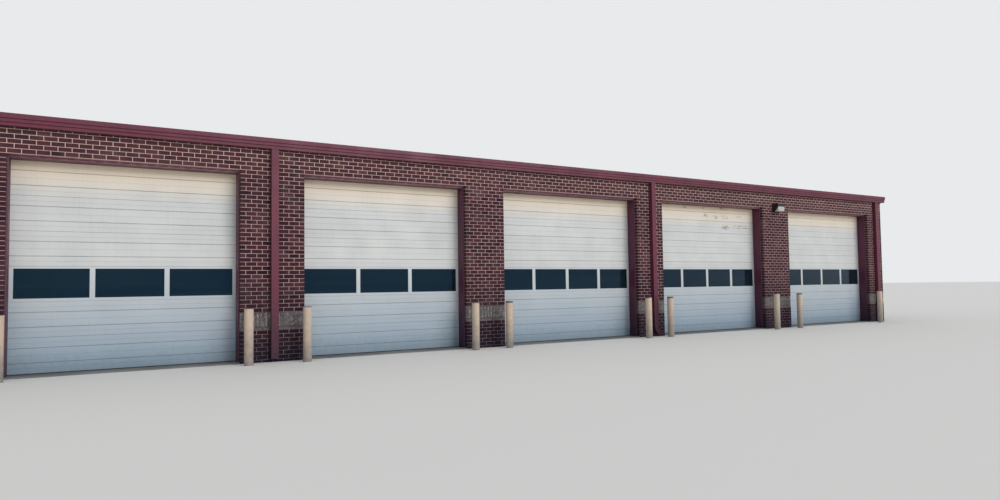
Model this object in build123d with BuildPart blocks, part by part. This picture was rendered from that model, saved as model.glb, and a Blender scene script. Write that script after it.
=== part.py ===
from build123d import *
import os

os.makedirs("parts", exist_ok=True)

# Single-storey brick service garage with a row of six overhead-door bays.
# X runs along the front to the right, Y runs from the front to the back, Z is up.
# The origin is on the ground, in the middle of the walls' footprint.

# Brickwork: a brick with its joints, as laid in running bond
brick_length = 203.2
course_height = 81.28

# Front, from left to right, in brick lengths
pier_bricks = (4, 6, 6, 5, 4.5, 6, 4)
opening_bricks = (18, 18, 18, 20.5, 20.5, 21)
pane_counts = (3, 3, 3, 4, 4, 4)

# Walls: one brick wythe in front of a block wythe
brick_depth = 101.6
block_depth = 203.2
building_depth = 12192.0
base_height = 625.0
band_height = 350.0
course_count_to_head = 34
brick_over_doors = 561.48

# Concrete floor above the ground outside
floor_height = 25.0

# Steel channel frame that lines each doorway behind the brick
channel_depth = 254.0
jamb_flange = 25.0
head_flange = 55.0
channel_web = 6.0

# Sectional overhead doors
section_count = 6
window_section_number = 2
section_depth = 45.0
section_gap = 0.6
section_bevel = 5.0
door_lap = 25.0
door_top_lap = 11.08
door_clearance = 0.3
seal_height = 12.0
strong_groove_heights = (178.0, 432.0)
strong_groove_depth = 5.0
strong_groove_half_width = 7.0
light_groove_heights = (89.0, 305.0, 520.0)
light_groove_depth = 2.0
light_groove_half_width = 5.0

# Window openings in the glazed door section
window_bottom_rail = 58.0
window_top_rail = 36.0
window_stile = 85.0
window_mullion = 84.0
window_lip = 12.0
window_rebate = 8.0
pane_thickness = 6.0
pane_clearance = 0.3

# Low-slope metal roof, ridge parallel to the front
roof_rise_per_run = 1 / 12
roof_thickness = 40.0
roof_drip = 60.0
roof_side_overhang = 45.0
seam_spacing = 609.6
seam_height = 34.0
seam_width = 22.0
ridge_cap_reach = 180.0
trim_thickness = 5.0
rake_face_height = 190.0
rake_flange = 90.0

# Box gutters along both eaves
gutter_over_wall = 76.0
gutter_height = 203.0
gutter_depth = 150.0
gutter_step = 20.0
gutter_lower_face = 52.0
gutter_middle_face = 50.0
gutter_sheet = 4.0
gutter_lip = 22.0
gutter_overhang = 83.0

# Rectangular downspouts, placed in brick lengths from the left corner
downspout_width = 140.0
downspout_depth = 102.0
downspout_sheet = 4.0
downspout_open_end = 150.0
downspout_clear_of_ground = 70.0
front_downspout_bricks = (1.0, 49.1, 149.6)
kicked_downspout_bricks = 98.1
kick_height = 330.0
kick_reach = 135.0
back_downspout_bricks = (1.0, 50.0, 100.0, 150.4)

# Wall light above the pier before the last bay
pier_count_before_light = 5
light_off_centre = 26.0
light_drop_below_head = 131.5
light_height = 255.0
light_width = 305.0
light_top_depth = 205.0
light_foot_depth = 80.0
light_hood_height = 106.0
lens_margin = 12.0
lens_foot = 18.0

# Guard posts, one at each side of every door. Each pair holds how far the left and the right
# post of a doorway stand outside its edges, or inside them if negative: they were set by eye
bollard_diameter = 168.0
bollard_height = 1070.0
bollard_offset = 350.0
bollard_shifts = ((50, 50), (30, 100), (30, 45), (90, 20), (115, 85), (55, -20))
bollard_edge = 8.0

# Places that follow from the sizes above
wall_depth = brick_depth + block_depth
total_bricks = sum(pier_bricks) + sum(opening_bricks)
building_length = total_bricks * brick_length
roof_length = building_length + 2 * roof_side_overhang
left_face = -building_length / 2
right_face = building_length / 2
front_face = -building_depth / 2
back_face = building_depth / 2
band_top = base_height + band_height
head_height = band_top + course_count_to_head * course_height
clear_head = head_height - head_flange
wall_top = head_height + brick_over_doors
gutter_top = wall_top + gutter_over_wall
light_bottom = head_height - light_drop_below_head
channel_back = front_face + brick_depth + channel_depth
door_face = channel_back + door_clearance
door_foot = floor_height + seal_height
section_height = (clear_head + door_top_lap - door_foot) / section_count


def brick_x(bricks):
    """Distance along the front, counted in bricks from the left corner."""
    return left_face + bricks * brick_length


def underside(y):
    """Height of the roof's underside over a line at y."""
    return wall_top + (building_depth / 2 - abs(y)) * roof_rise_per_run


# Left and right edges of every pier and of every masonry opening
pier_edges = []
opening_edges = []
laid = 0
for number, width in enumerate(pier_bricks):
    pier_edges.append((brick_x(laid), brick_x(laid + width)))
    laid += width
    if number < len(opening_bricks):
        opening_edges.append((brick_x(laid), brick_x(laid + opening_bricks[number])))
        laid += opening_bricks[number]


def finish(part, name):
    """Label a finished piece and write its file."""
    part.label = name
    export_step(part, f"parts/{name}.step")


# Concrete floor slab inside the walls, with a tongue out through each doorway
with BuildPart() as floor_slab:
    with BuildSketch():
        Rectangle(building_length - 2 * wall_depth, building_depth - 2 * wall_depth)
        for left, right in opening_edges:
            with Locations(((left + right) / 2, front_face + wall_depth / 2)):
                Rectangle(right - left, wall_depth)
    extrude(amount=floor_height)
finish(floor_slab.part, "floor_slab")


def pier_blocks(bottom, top):
    """One plain block of masonry for each pier of the front, from bottom to top."""
    with BuildPart() as blocks:
        with BuildSketch(Plane.XY.offset(bottom)):
            for left, right in pier_edges:
                with Locations(((left + right) / 2, front_face + wall_depth / 2)):
                    Rectangle(right - left, wall_depth)
        extrude(amount=top - bottom)
    return blocks.part


# Front piers: brick under the block band and brick over it
with BuildPart() as front_piers:
    add(pier_blocks(0, base_height))
    add(pier_blocks(band_top, head_height))
finish(front_piers.part, "front_piers")

# Band of rough grey block between the two stretches of brick
front_band = pier_blocks(base_height, band_top)
finish(front_band, "front_block_band")

# Brick over the doors, in one run from corner to corner, cut to the roof's slope
inner_front = front_face + wall_depth
with BuildPart() as front_header:
    with BuildSketch(Plane.YZ.offset(left_face)):
        with BuildLine():
            Polyline(
                (front_face, head_height),
                (inner_front, head_height),
                (inner_front, underside(inner_front)),
                (front_face, underside(front_face)),
                close=True,
            )
        make_face()
    extrude(amount=building_length)
finish(front_header.part, "front_header_wall")

# Back wall: two stretches of brick with the band between them
inner_back = back_face - wall_depth
with BuildPart() as back_wall:
    with BuildSketch(Plane.YZ.offset(left_face)):
        with BuildLine():
            Polyline(
                (inner_back, band_top),
                (back_face, band_top),
                (back_face, underside(back_face)),
                (inner_back, underside(inner_back)),
                close=True,
            )
        make_face()
        with Locations(((inner_back + back_face) / 2, base_height / 2)):
            Rectangle(wall_depth, base_height)
    extrude(amount=building_length)
finish(back_wall.part, "back_wall")

with BuildPart() as back_band:
    with BuildSketch(Plane.XY.offset(base_height)):
        with Locations((0, (inner_back + back_face) / 2)):
            Rectangle(building_length, wall_depth)
    extrude(amount=band_height)
finish(back_band.part, "back_block_band")


def gable_wall(plane):
    """End wall with a gable top, between the front wall and the back wall."""
    with BuildPart() as wall:
        with BuildSketch(plane):
            with BuildLine():
                Polyline(
                    (inner_front, band_top),
                    (inner_back, band_top),
                    (inner_back, underside(inner_back)),
                    (0, underside(0)),
                    (inner_front, underside(inner_front)),
                    close=True,
                )
            make_face()
            with Locations((0, base_height / 2)):
                Rectangle(inner_back - inner_front, base_height)
        extrude(amount=wall_depth)
    return wall.part


def gable_band(plane):
    """Block band of an end wall."""
    with BuildPart() as band:
        with BuildSketch(plane):
            with Locations((0, base_height + band_height / 2)):
                Rectangle(inner_back - inner_front, band_height)
        extrude(amount=wall_depth)
    return band.part


left_plane = Plane.YZ.offset(left_face)
right_plane = Plane.YZ.offset(right_face - wall_depth)
for side, plane in (("left", left_plane), ("right", right_plane)):
    finish(gable_wall(plane), f"{side}_wall")
    finish(gable_band(plane), f"{side}_block_band")


def jamb_channel(edge, inward):
    """Upright steel channel, legs against the masonry reveal at edge."""
    middle_y = channel_back - channel_depth / 2
    hollow_width = jamb_flange - channel_web
    hollow_depth = channel_depth - 2 * channel_web
    with BuildPart() as jamb:
        with BuildSketch(Plane.XY.offset(floor_height)):
            with Locations((edge + inward * jamb_flange / 2, middle_y)):
                Rectangle(jamb_flange, channel_depth)
            with Locations((edge + inward * hollow_width / 2, middle_y)):
                Rectangle(hollow_width, hollow_depth, mode=Mode.SUBTRACT)
        extrude(amount=clear_head - door_clearance - floor_height)
    return jamb.part


def head_channel(left, right):
    """Level steel channel over a doorway, legs up against the brick over it."""
    middle_y = channel_back - channel_depth / 2
    hollow_height = head_flange - channel_web
    hollow_depth = channel_depth - 2 * channel_web
    with BuildPart() as head:
        with BuildSketch(Plane.YZ.offset(left)):
            with Locations((middle_y, clear_head + head_flange / 2)):
                Rectangle(channel_depth, head_flange)
            with Locations((middle_y, head_height - hollow_height / 2)):
                Rectangle(hollow_depth, hollow_height, mode=Mode.SUBTRACT)
        extrude(amount=right - left)
    return head.part


# Painted steel frames, set behind the brick in each doorway and proud of the wall inside
for number, (left, right) in enumerate(opening_edges, start=1):
    with BuildPart() as door_frame:
        add(jamb_channel(left, 1))
        add(jamb_channel(right, -1))
        add(head_channel(left, right))
    finish(door_frame.part, f"door_frame_{number}")


def section_outline(bottom):
    """Side profile of a ribbed steel door section: flat back, grooved face."""
    top = bottom + section_height - section_gap
    face = door_face
    back = door_face + section_depth
    grooves = [(h, strong_groove_half_width, strong_groove_depth) for h in strong_groove_heights]
    grooves += [(h, light_groove_half_width, light_groove_depth) for h in light_groove_heights]
    points = [(back, bottom), (face + section_bevel, bottom), (face, bottom + section_bevel)]
    for height, half_width, depth in sorted(grooves):
        points.append((face, bottom + height - half_width))
        points.append((face + depth, bottom + height))
        points.append((face, bottom + height + half_width))
    points += [(face, top - section_bevel), (face + section_bevel, top), (back, top)]
    return points


def door_edges(number):
    """Left and right ends of a door, lapped behind its steel frame."""
    left, right = opening_edges[number]
    lap = jamb_flange - door_lap
    return left + lap, right - lap


def window_centres(number):
    """Sight size of a door's window openings and the middle of each."""
    left, right = door_edges(number)
    panes = pane_counts[number]
    width = (right - left - 2 * window_stile - (panes - 1) * window_mullion) / panes
    first = left + window_stile + width / 2
    return width, [first + n * (width + window_mullion) for n in range(panes)]


window_foot = door_foot + window_section_number * section_height
sight_bottom = window_foot + window_bottom_rail
sight_top = window_foot + section_height - section_gap - window_top_rail
sight_height = sight_top - sight_bottom
sight_middle = (sight_top + sight_bottom) / 2

for number in range(len(opening_bricks)):
    left, right = door_edges(number)

    # Five ribbed sections, two under the windows and three over them
    with BuildPart() as door_sections:
        with BuildSketch(Plane.YZ.offset(left)):
            for row in range(section_count):
                if row != window_section_number:
                    with BuildLine():
                        Polyline(*section_outline(door_foot + row * section_height), close=True)
                    make_face()
        extrude(amount=right - left)
    finish(door_sections.part, f"door_{number + 1}_sections")

    # Glazed section: a frame with its window openings rebated from the back
    width, centres = window_centres(number)
    with BuildPart() as window_frame:
        with BuildSketch(Plane.YZ.offset(left)):
            with BuildLine():
                top = window_foot + section_height - section_gap
                Polyline(
                    (door_face + section_depth, window_foot),
                    (door_face + section_bevel, window_foot),
                    (door_face, window_foot + section_bevel),
                    (door_face, top - section_bevel),
                    (door_face + section_bevel, top),
                    (door_face + section_depth, top),
                    close=True,
                )
            make_face()
        extrude(amount=right - left)
        with BuildSketch(Plane.XZ.offset(-door_face)):
            with Locations(*[(centre, sight_middle) for centre in centres]):
                Rectangle(width, sight_height)
        extrude(amount=-section_depth, mode=Mode.SUBTRACT)
        with BuildSketch(Plane.XZ.offset(-door_face - window_lip)):
            with Locations(*[(centre, sight_middle) for centre in centres]):
                Rectangle(width + 2 * window_rebate, sight_height + 2 * window_rebate)
        extrude(amount=-section_depth, mode=Mode.SUBTRACT)
    finish(window_frame.part, f"door_{number + 1}_window_frame")

# Window panes of all the doors, each in its own rebate
pane_margin = 2 * (window_rebate - pane_clearance)
with BuildPart() as door_glass:
    for number in range(len(opening_bricks)):
        width, centres = window_centres(number)
        with BuildSketch(Plane.XZ.offset(-door_face - window_lip)):
            with Locations(*[(centre, sight_middle) for centre in centres]):
                Rectangle(width + pane_margin, sight_height + pane_margin)
        extrude(amount=-pane_thickness)
finish(door_glass.part, "door_glass")

# Rubber seals under the doors
with BuildPart() as door_seals:
    with BuildSketch(Plane.XY.offset(floor_height)):
        for number in range(len(opening_bricks)):
            left, right = door_edges(number)
            with Locations(((left + right) / 2, door_face + section_depth / 2)):
                Rectangle(right - left, section_depth - 2 * section_bevel)
    extrude(amount=seal_height)
finish(door_seals.part, "door_bottom_seals")


def roof_half(side):
    """Standing-seam sheet from the eave on one side (-1 front, 1 back) to the ridge."""
    eave = side * (building_depth / 2 + roof_drip)
    eave_point = (0, eave, underside(eave))
    slope = Vector(0, -side, roof_rise_per_run)
    eave_plane = Plane(eave_point, x_dir=(1, 0, 0), z_dir=slope)
    upward = 1 if eave_plane.y_dir.Z > 0 else -1
    run = building_depth / 2 + roof_drip
    seam_count = int((roof_length - 2 * rake_flange - seam_width) // seam_spacing) + 1
    past_ridge = roof_thickness + seam_height
    with BuildPart() as half:
        with BuildSketch(eave_plane):
            with Locations((0, upward * roof_thickness / 2)):
                Rectangle(roof_length, roof_thickness)
            with Locations((0, upward * (roof_thickness + seam_height / 2))):
                with GridLocations(seam_spacing, seam_spacing, seam_count, 1):
                    Rectangle(seam_width, seam_height)
        extrude(amount=run + past_ridge)
        split(bisect_by=Plane.XZ, keep=Keep.TOP if side < 0 else Keep.BOTTOM)
    return half.part


finish(roof_half(-1), "roof_front")
finish(roof_half(1), "roof_back")

# Ridge cap, bent to the two slopes and carried on the seams
cap_seat = underside(0) + (roof_thickness + seam_height) * (1 + roof_rise_per_run ** 2) ** 0.5
cap_drop = ridge_cap_reach * roof_rise_per_run
with BuildPart() as ridge_cap:
    with BuildSketch(Plane.YZ.offset(-roof_length / 2)):
        with BuildLine():
            Polyline(
                (-ridge_cap_reach, cap_seat - cap_drop),
                (0, cap_seat),
                (ridge_cap_reach, cap_seat - cap_drop),
                (ridge_cap_reach, cap_seat - cap_drop + trim_thickness),
                (0, cap_seat + trim_thickness),
                (-ridge_cap_reach, cap_seat - cap_drop + trim_thickness),
                close=True,
            )
        make_face()
    extrude(amount=roof_length)
finish(ridge_cap.part, "ridge_cap")


def gable_strip(top_at_eave, top_at_ridge, height):
    """Corners of a strip that follows both slopes of the roof, seen from the gable end."""
    eave = building_depth / 2
    return [
        (-eave, top_at_eave),
        (0, top_at_ridge),
        (eave, top_at_eave),
        (eave, top_at_eave - height),
        (0, top_at_ridge - height),
        (-eave, top_at_eave - height),
    ]


def rake_trim(side):
    """Folded trim on a gable edge: a face, a flange on the roof, and a return to the wall."""
    roof_lift = roof_thickness * (1 + roof_rise_per_run ** 2) ** 0.5 + trim_thickness
    top_eave = underside(building_depth / 2) + roof_lift
    top_ridge = underside(0) + roof_lift
    to_return = rake_face_height - trim_thickness
    face = (0, rake_face_height, trim_thickness)
    flange = (0, trim_thickness, -rake_flange)
    wall_return = (to_return, trim_thickness, -roof_side_overhang)
    with BuildPart() as trim:
        for lower, height, reach in (face, flange, wall_return):
            with BuildSketch(Plane.YZ.offset(side * roof_length / 2)):
                with BuildLine():
                    Polyline(*gable_strip(top_eave - lower, top_ridge - lower, height), close=True)
                make_face()
            extrude(amount=side * reach)
    return trim.part


finish(rake_trim(-1), "left_rake_trim")
finish(rake_trim(1), "right_rake_trim")


def eave_gutter(side):
    """Box gutter on one eave (-1 front, 1 back): stepped face, flat bottom, open top."""
    wall = side * building_depth / 2
    bottom = gutter_top - gutter_height
    middle = bottom + gutter_lower_face
    upper = middle + gutter_step / 2 + gutter_middle_face
    back_leg = underside(building_depth / 2) - gutter_sheet
    foot_reach = gutter_depth - 2 * gutter_step
    outline = [
        (0, back_leg),
        (0, bottom),
        (foot_reach, bottom),
        (foot_reach, middle),
        (foot_reach + gutter_step, middle + gutter_step / 2),
        (foot_reach + gutter_step, upper),
        (gutter_depth, upper + gutter_step / 2),
        (gutter_depth, gutter_top),
        (gutter_depth - gutter_lip, gutter_top),
        (gutter_depth - gutter_lip, gutter_top - gutter_sheet),
        (gutter_depth - gutter_sheet, gutter_top - gutter_sheet),
        (gutter_depth - gutter_sheet, upper + gutter_step / 2 + gutter_sheet),
        (foot_reach + gutter_step - gutter_sheet, upper + gutter_sheet),
        (foot_reach + gutter_step - gutter_sheet, middle + gutter_step / 2 + gutter_sheet),
        (foot_reach - gutter_sheet, middle + gutter_sheet),
        (foot_reach - gutter_sheet, bottom + gutter_sheet),
        (gutter_sheet, bottom + gutter_sheet),
        (gutter_sheet, back_leg),
    ]
    cap_outline = outline[:8]
    length = building_length + 2 * gutter_overhang
    with BuildPart() as gutter:
        with BuildSketch(Plane.YZ.offset(-length / 2)):
            with BuildLine():
                Polyline(*[(wall + side * out, height) for out, height in outline], close=True)
            make_face()
        extrude(amount=length)
        for end in (-length / 2, length / 2 - gutter_sheet):
            with BuildSketch(Plane.YZ.offset(end)):
                with BuildLine():
                    Polyline(*[(wall + side * out, height) for out, height in cap_outline], close=True)
                make_face()
            extrude(amount=gutter_sheet)
    return gutter.part


finish(eave_gutter(-1), "front_gutter")
finish(eave_gutter(1), "back_gutter")


def straight_downspout(x, wall, side):
    """Rectangular downspout from the gutter's bottom to just above the ground."""
    top = gutter_top - gutter_height
    with BuildPart() as pipe:
        with BuildSketch(Plane.XY.offset(downspout_clear_of_ground)):
            with Locations((x, wall + side * downspout_depth / 2)):
                Rectangle(downspout_width, downspout_depth)
        extrude(amount=top - downspout_clear_of_ground)
        with BuildSketch(Plane.XY.offset(downspout_clear_of_ground)):
            with Locations((x, wall + side * downspout_depth / 2)):
                Rectangle(downspout_width - 2 * downspout_sheet, downspout_depth - 2 * downspout_sheet)
        extrude(amount=downspout_open_end, mode=Mode.SUBTRACT)
    return pipe.part


def kicked_downspout(x, wall, side):
    """Downspout whose foot is bent out sideways along the wall."""
    top = gutter_top - gutter_height
    half = downspout_width / 2
    foot = downspout_clear_of_ground
    with BuildPart() as pipe:
        with BuildSketch(Plane.XZ.offset(-wall)):
            with BuildLine():
                left_foot = (x - half + kick_reach, foot)
                Polyline((x - half, kick_height), (x - half, top), (x + half, top), (x + half, kick_height))
                Spline(
                    (x + half, kick_height),
                    (x + half + kick_reach, foot + half),
                    tangents=[(0, -1), (1, -0.6)],
                )
                Line((x + half + kick_reach, foot + half), left_foot)
                Spline(left_foot, (x - half, kick_height), tangents=[(-1, 0.9), (0, 1)])
            make_face()
        extrude(amount=-side * downspout_depth)
    return pipe.part


# Downspouts of the front: three straight ones and one with a bent foot
with BuildPart() as front_downspouts:
    for bricks in front_downspout_bricks:
        add(straight_downspout(brick_x(bricks), front_face, -1))
    add(kicked_downspout(brick_x(kicked_downspout_bricks), front_face, -1))
finish(front_downspouts.part, "front_downspouts")

with BuildPart() as back_downspouts:
    for bricks in back_downspout_bricks:
        add(straight_downspout(brick_x(bricks), back_face, 1))
finish(back_downspouts.part, "back_downspouts")

# Wall light: a cast housing that slopes back under its hood, and a glass wedge on the slope
light_x = sum(pier_edges[pier_count_before_light]) / 2 + light_off_centre
light_top = light_bottom + light_height
light_front = front_face - light_top_depth
hood_bottom = light_top - light_hood_height
hood_bevel = light_hood_height / 4
with BuildPart() as light_housing:
    with BuildSketch(Plane.YZ.offset(light_x - light_width / 2)):
        with BuildLine():
            Polyline(
                (front_face, light_bottom),
                (front_face - light_foot_depth, light_bottom),
                (light_front, hood_bottom),
                (light_front, light_top - hood_bevel),
                (light_front + hood_bevel, light_top),
                (front_face, light_top),
                close=True,
            )
        make_face()
    extrude(amount=light_width)
finish(light_housing.part, "wall_light_housing")

lens_width = light_width - 2 * lens_margin
with BuildPart() as light_lens:
    with BuildSketch(Plane.YZ.offset(light_x - lens_width / 2)):
        with BuildLine():
            Polyline(
                (front_face - light_foot_depth, light_bottom),
                (light_front, hood_bottom),
                (light_front, light_bottom + lens_foot),
                (light_front + lens_foot, light_bottom),
                close=True,
            )
        make_face()
    extrude(amount=lens_width)
finish(light_lens.part, "wall_light_lens")

# Guard posts: steel pipes filled with concrete, standing on the ground in front
post_y = front_face - bollard_offset
with BuildPart() as bollards:
    with BuildSketch():
        for (left, right), (left_shift, right_shift) in zip(opening_edges, bollard_shifts):
            with Locations((left - left_shift, post_y), (right + right_shift, post_y)):
                Circle(bollard_diameter / 2)
    extrude(amount=bollard_height)
    tops = bollards.faces().filter_by(Axis.Z).group_by(Axis.Z)[-1]
    chamfer(tops.edges(), bollard_edge)
finish(bollards.part, "bollards")
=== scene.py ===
import math
import random
import bpy
from mathutils import Matrix, Vector, noise


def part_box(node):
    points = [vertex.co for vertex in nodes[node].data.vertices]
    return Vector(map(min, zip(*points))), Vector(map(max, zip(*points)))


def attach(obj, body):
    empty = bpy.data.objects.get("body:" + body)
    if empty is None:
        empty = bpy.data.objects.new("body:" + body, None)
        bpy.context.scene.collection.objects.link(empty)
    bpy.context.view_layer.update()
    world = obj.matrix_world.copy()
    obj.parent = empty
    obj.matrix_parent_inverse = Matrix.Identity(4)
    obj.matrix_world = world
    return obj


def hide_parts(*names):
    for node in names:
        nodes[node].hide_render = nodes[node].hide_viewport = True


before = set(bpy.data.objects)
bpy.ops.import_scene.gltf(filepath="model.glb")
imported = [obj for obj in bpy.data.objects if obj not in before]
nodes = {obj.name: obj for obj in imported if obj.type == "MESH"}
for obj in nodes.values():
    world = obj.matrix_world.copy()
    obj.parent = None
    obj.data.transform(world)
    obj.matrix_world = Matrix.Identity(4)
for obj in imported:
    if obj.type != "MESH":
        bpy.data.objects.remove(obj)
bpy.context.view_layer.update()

# The front as seen at eye height from before the second bay, with the row of doors running
# away to the right. The lens is a wide one, held nearly level.
frame_width = 1000
frame_height = 500
focal_length_px = 668.5
optical_centre_y_px = 256.0
camera_place = (-8.2198, -19.675, 1.425)
camera_turn_right = math.radians(30.353)
camera_tilt_up = math.radians(2.55)
camera_roll = math.radians(-0.782)
quarter_turn = math.radians(90)
sensor_width = 36.0

camera_data = bpy.data.cameras.new("front_camera")
camera_data.sensor_width = sensor_width
camera_data.lens = sensor_width * focal_length_px / frame_width
camera_data.shift_y = (optical_centre_y_px - frame_height / 2) / frame_width
camera = bpy.data.objects.new("front_camera", camera_data)
bpy.context.scene.collection.objects.link(camera)
camera.matrix_world = (
    Matrix.Translation(camera_place)
    @ Matrix.Rotation(-camera_turn_right, 4, "Z")
    @ Matrix.Rotation(quarter_turn + camera_tilt_up, 4, "X")
    @ Matrix.Rotation(camera_roll, 4, "Z")
)
bpy.context.scene.camera = camera

# The studio round the building: a pale floor, a pale room that gives soft light from all
# round, and one broad soft lamp before the front, so that reveals and joints keep their depth.
view_settings = bpy.context.scene.view_settings
view_settings.view_transform = "Standard"
floor_reach = 400.0
room_tint = (0.97, 0.985, 1.0, 1.0)
room_strength = 0.62
lamp_tint = (1.0, 0.985, 0.96)
lamp_strength = 1.33
lamp_spread = math.radians(35)
lamp_lean = math.radians(66)
lamp_turn = math.radians(24)


def feed(node, sockets):
    """Give sockets of a node, by name or by number, an output to link to or a value."""
    for key, value in sockets.items():
        if isinstance(value, bpy.types.NodeSocket):
            node.id_data.links.new(value, node.inputs[key])
        else:
            node.inputs[key].default_value = value


def add_node(tree, kind, settings=None, **sockets):
    """Add one shader node with its settings; a socket's name has _ for each space."""
    made = tree.nodes.new(kind)
    for name, value in (settings or {}).items():
        setattr(made, name, value)
    feed(made, {name.replace("_", " "): value for name, value in sockets.items()})
    return made


def reckon(tree, operation, *values):
    """One Math node on numbers or sockets; gives its result."""
    made = add_node(tree, "ShaderNodeMath", {"operation": operation})
    feed(made, dict(enumerate(values)))
    return made.outputs[0]


def mix_colours(tree, share, first, second):
    """Blend two colours, each a colour or a socket, by a share from 0 to 1."""
    share_input = 0
    first_input = 6
    second_input = 7
    colour_output = 2
    made = add_node(tree, "ShaderNodeMix", {"data_type": "RGBA"})
    feed(made, {share_input: share, first_input: first, second_input: second})
    return made.outputs[colour_output]


def mottle(tree, scale, detail, **sockets):
    """Noise from 0 to 1, with about scale blotches to the metre."""
    made = add_node(tree, "ShaderNodeTexNoise", Scale=scale, Detail=detail, **sockets)
    return made.outputs["Fac"]


def srgb(red, green, blue):
    """A colour given as 0 to 255 on screen, in the linear numbers that shaders use."""
    shares = [level / 255 for level in (red, green, blue)]
    return [s / 12.92 if s <= 0.04045 else ((s + 0.055) / 1.055) ** 2.4 for s in shares] + [1.0]


def new_material(name):
    """A material with its node tree and its Principled shader, ready to wire."""
    material = bpy.data.materials.new(name)
    material.use_nodes = True
    return material, material.node_tree, material.node_tree.nodes["Principled BSDF"]


def mesh_piece(name, points, faces, material):
    """A new object at the origin from points in metres and faces."""
    mesh = bpy.data.meshes.new(name)
    mesh.from_pydata(points, [], faces)
    mesh.materials.append(material)
    mesh.update()
    piece = bpy.data.objects.new(name, mesh)
    bpy.context.scene.collection.objects.link(piece)
    return piece


def rectangle(low_x, high_x, low_y, high_y):
    """Its four corners in plan."""
    return [(low_x, low_y), (high_x, low_y), (high_x, high_y), (low_x, high_y)]


floor_light = srgb(226, 226, 224)
floor_lighter = srgb(230, 230, 228)
room_shade = srgb(232, 234, 236)

pale_floor, floor_tree, floor_shader = new_material("studio_floor")
floor_mottle = mottle(floor_tree, scale=0.6, detail=3.0)
floor_tone = mix_colours(floor_tree, floor_mottle, floor_light, floor_lighter)
feed(floor_shader, {"Base Color": floor_tone, "Roughness": 0.9})
floor_plan = rectangle(-floor_reach, floor_reach, -floor_reach, floor_reach)
floor_corners = [(x, y, 0) for x, y in floor_plan]
studio_floor = mesh_piece("studio_floor", floor_corners, [(0, 1, 2, 3)], pale_floor)

world = bpy.data.worlds.new("studio_room")
bpy.context.scene.world = world
world.use_nodes = True
world_tree = world.node_tree
world_tree.nodes.clear()
rays = add_node(world_tree, "ShaderNodeLightPath").outputs
seen_or_mirrored = reckon(world_tree, "MAXIMUM", rays["Is Camera Ray"], rays["Is Glossy Ray"])
shows_room = reckon(world_tree, "MAXIMUM", seen_or_mirrored, rays["Is Transmission Ray"])
room_light = add_node(
    world_tree, "ShaderNodeBackground", Color=room_tint, Strength=room_strength
).outputs[0]
room_view = add_node(
    world_tree, "ShaderNodeBackground", Color=room_shade, Strength=1.0
).outputs[0]
room_mix = add_node(world_tree, "ShaderNodeMixShader")
feed(room_mix, {0: shows_room, 1: room_light, 2: room_view})
add_node(world_tree, "ShaderNodeOutputWorld", Surface=room_mix.outputs[0])

lamp_data = bpy.data.lights.new("soft_lamp", "SUN")
lamp_data.energy = lamp_strength
lamp_data.angle = lamp_spread
lamp_data.color = lamp_tint
soft_lamp = bpy.data.objects.new("soft_lamp", lamp_data)
soft_lamp.rotation_euler = (lamp_lean, 0, lamp_turn)
bpy.context.scene.collection.objects.link(soft_lamp)

# Face brick of the front wall: dark red-brown bricks, 8 in by 3.2 in with their joints, laid in
# running bond as one wythe in front of block. The joints are light and struck a little back.
# The wall is darker and bluer towards its foot, partly damp and partly painted shade, and its upper
# courses are made lighter as painted light.
brick_length = 0.2032
course_height = 0.08128
bed_joint = 0.0076
head_joint = 0.0098
brick_edge = 0.002
half_brick = brick_length / 2
brick_depth = half_brick - bed_joint / 2
shortest_cut = 0.03
brick_set_back = 0.0016
brick_drop = 0.0006
edge_lean = 0.0007
bond_slack = 1e-6

header_low, header_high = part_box("front_header_wall")
band_low, band_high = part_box("front_block_band")
left_face = header_low.x
right_face = header_high.x
front_face = header_low.y
inner_front = header_high.y
head_height = header_low.z
base_height = band_low.z
band_top = band_high.z
wall_depth = inner_front - front_face
roof_pitch = 1 / 12
wall_top = header_high.z - wall_depth * roof_pitch
bay_count = 6
bays = range(1, bay_count + 1)
door_frame_boxes = [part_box(f"door_frame_{n}") for n in bays]
opening_edges = [(low.x, high.x) for low, high in door_frame_boxes]
pier_starts = [left_face] + [right for left, right in opening_edges]
pier_ends = [left for left, right in opening_edges] + [right_face]
piers = list(zip(pier_starts, pier_ends))


def wall_point(wall, run, depth, height):
    """A point so far along a wall, behind its face and up; wall is (corner, along, outward)."""
    corner, along, outward = wall
    place = corner + along * run - outward * depth
    return place.x, place.y, height


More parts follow.
